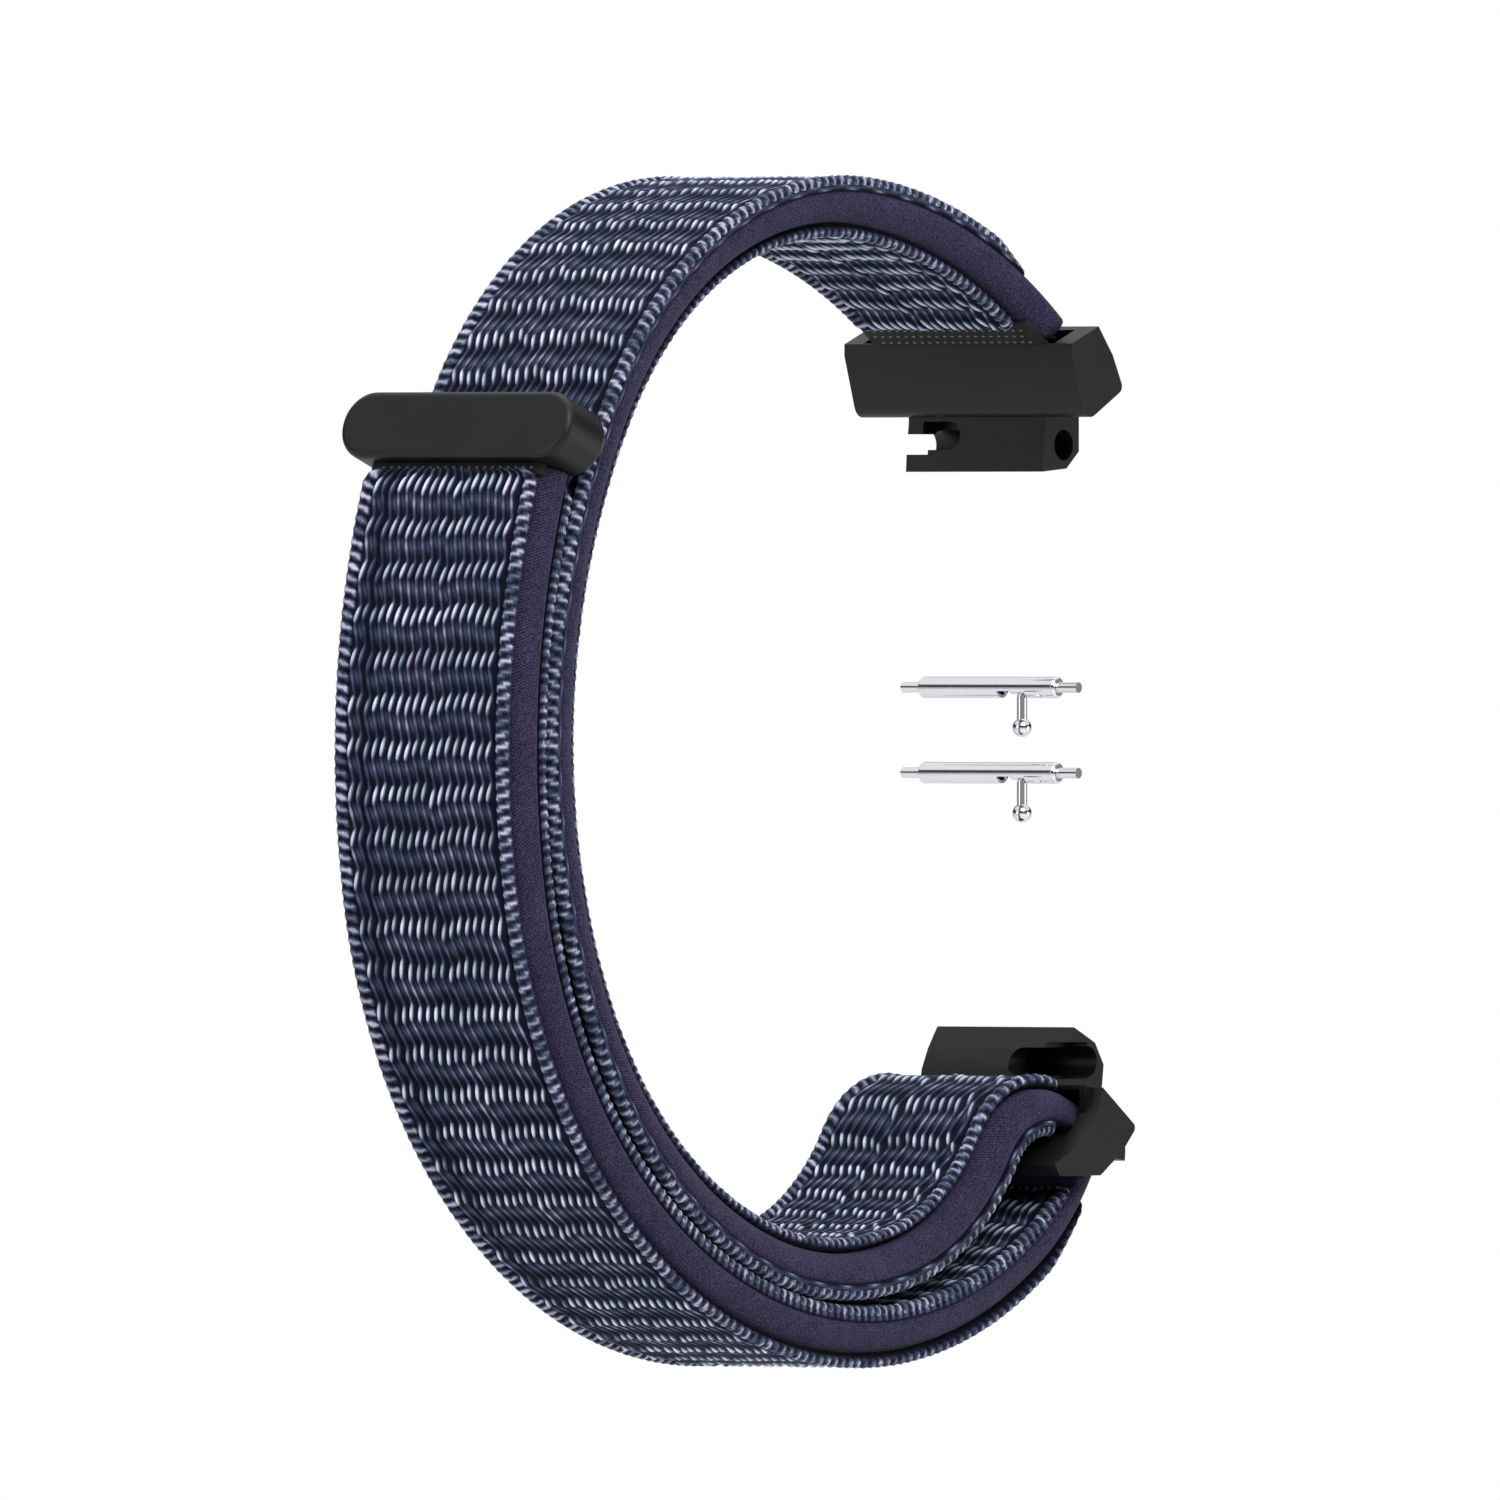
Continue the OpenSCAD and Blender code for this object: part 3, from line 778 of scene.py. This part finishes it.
def metalMaterial(name, tone, roughness, grainScale):
    material = plainMaterial(name, linear(tone), roughness, 1.0)
    tree = material.node_tree
    coord = tree.nodes.new("ShaderNodeTexCoord")
    stretch = tree.nodes.new("ShaderNodeMapping")
    stretch.inputs["Scale"].default_value = metalFinish["grainStretch"]
    wire(tree, coord.outputs["Object"], stretch.inputs["Vector"])
    grain = noise(tree, stretch.outputs[0], grainScale, metalFinish["grainDetail"])
    rough = scaled(tree, grain, metalFinish["roughnessSpread"], roughness - metalFinish["roughnessDrop"])
    wire(tree, rough, tree.nodes["Principled BSDF"].inputs["Roughness"])
    addRelief(tree, grain, *metalFinish["relief"])
    return material


# Lengths in metres, angles in degrees
hardParts = {
    "connectorEdge": 0.00011,
    "barEdges": [("barrel", "bar", 0.00003), ("lever_tip", "lever", 0.00003), ("knob", "lever", 0.00002),
                 ("plain_tip", "plunger", 0.00003)],  # node, the body it is on and its edge
    "sharp": 30,
    "segments": 3,
    "weldWithin": 2e-7,
    "flatWithin": 0.5,
    "tipTravel": 0.0012,  # how far a tip presses into its barrel
}


def mergedCopy(node):
    bm = bmesh.new()
    bm.from_mesh(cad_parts[node].data)
    bmesh.ops.remove_doubles(bm, verts=bm.verts, dist=hardParts["weldWithin"])
    return bm


# A merged, smooth-shaded copy of a solid with its sharp edges eased
def softened(name, node, width):
    bm = mergedCopy(node)
    bmesh.ops.dissolve_limit(bm, angle_limit=math.radians(hardParts["flatWithin"]), verts=bm.verts,
                             edges=bm.edges, use_dissolve_boundaries=False)
    for face in bm.faces:
        face.smooth = True
    for edge in bm.edges:
        edge.smooth = len(edge.link_faces) == 2 and edge.calc_face_angle(0) < math.radians(hardParts["sharp"])
    item = meshObject(name, bm)
    addBevel(item, width, hardParts["segments"], hardParts["sharp"])
    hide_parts(node)
    return item


# A coil's middle, and the share of its half that is left when a tip is pressed right in
def springPlace(node):
    low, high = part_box(node)
    half = (high[1] - low[1]) / 2
    return tuple((a + b) / 2 for a, b in zip(low, high)), 1 - hardParts["tipTravel"] / half


# The half of a coil that one tip presses on
def coilHalf(name, node, way):
    bm = mergedCopy(node)
    geom = list(bm.verts) + list(bm.edges) + list(bm.faces)
    middle = springPlace(node)[0]
    bmesh.ops.bisect_plane(bm, geom=geom, plane_co=middle, plane_no=(0, way, 0), clear_outer=True)
    closeAndSmooth(bm)
    item = meshObject(name, bm)
    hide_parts(node)
    return item


def paint(item, material):
    item.data.materials.clear()
    item.data.materials.append(material)


def dress(item, material, body=None):
    paint(item, material)
    if body:
        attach(item, body)


makeCamera()
makeLights()
makeSky()
makeFloor()
print("stage: camera, lights and floor")

fabric = wovenMaterial("wovenFace")
knit = knitMaterial("knitCore")
plastic = plasticMaterial("blackMoulding")
chrome = metalMaterial("barChrome", *metalFinish["chrome"])
steel = metalMaterial("pinSteel", *metalFinish["steel"])

loopCore = coreBand("loopCore", *core["loop"])
dress(loopCore, knit, "band")
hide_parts("strap_core")
outerCore = coreBand("outerCore", *core["outer"])
dress(outerCore, knit)
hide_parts("flex_core", "tail_core")

wristFace = facing("wristFace", **facings["wristFace"])
dress(wristFace, fabric, "band")
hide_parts("wrist_facing")
loopFace = facing("loopFace", **facings["loopFace"])
dress(loopFace, fabric, "band")
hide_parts("loop_facing")
outerFace = facing("outerFace", **facings["outerFace"])
dress(outerFace, fabric)
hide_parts("outer_run_outside_facing", "flex_outside_facing", "tail_outside_facing")
innerFace = facing("innerFace", **facings["innerFace"])
dress(innerFace, fabric)
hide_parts("outer_run_inside_facing", "flex_inside_facing", "tail_hook_facing")

bends = [station(flexAt), station(tailAt)]
for piece in (outerCore, outerFace, innerFace):
    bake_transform(piece)

clothTone, clothRoughness = tabs["cloth"]
tabCloth = plainMaterial("tabCloth", linear(clothTone), clothRoughness)
paleTone, paleRoughness = tabs["paleThread"]
paleThread = plainMaterial("paleThread", linear(paleTone), paleRoughness)
for end, body in (("top", "band"), ("tail", "tail")):
    dress(tabStrip(f"{end}Tab", *tabs[end]), tabCloth, body)
    dress(dashes(f"{end}Dashes", tabs[f"{end}Rows"], tabs[end][-1]), paleThread, body)
print("stage: strap")

for end in ("top", "bottom"):
    shell = softened(f"{end}ConnectorShell", f"{end}_connector", hardParts["connectorEdge"])
    dress(shell, plastic, f"{end}_fitting")
tailCap = capPill()
dress(tailCap, plastic, "tail")
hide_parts("tail_cap_front", "tail_cap_back")
for bar in ("upper", "lower"):
    for part, body, width in hardParts["barEdges"]:
        piece = softened(f"{bar}_{part}_polished", f"{bar}_{part}", width)
        dress(piece, chrome, f"{bar}_{body}")
    for tip, way in (("lever", 1), ("plunger", -1)):
        coil = coilHalf(f"{bar}_{tip}Coil", f"{bar}_spring", way)
        dress(coil, steel, f"{bar}_bar")
        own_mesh(coil)
blackTone, blackRoughness = tabs["blackThread"]
thread = plainMaterial("blackThread", linear(blackTone), blackRoughness)
for end in ("top", "tail"):
    paint(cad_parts[f"{end}_pin"], steel)
    paint(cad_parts[f"{end}_stitching"], thread)
print("stage: hard parts")
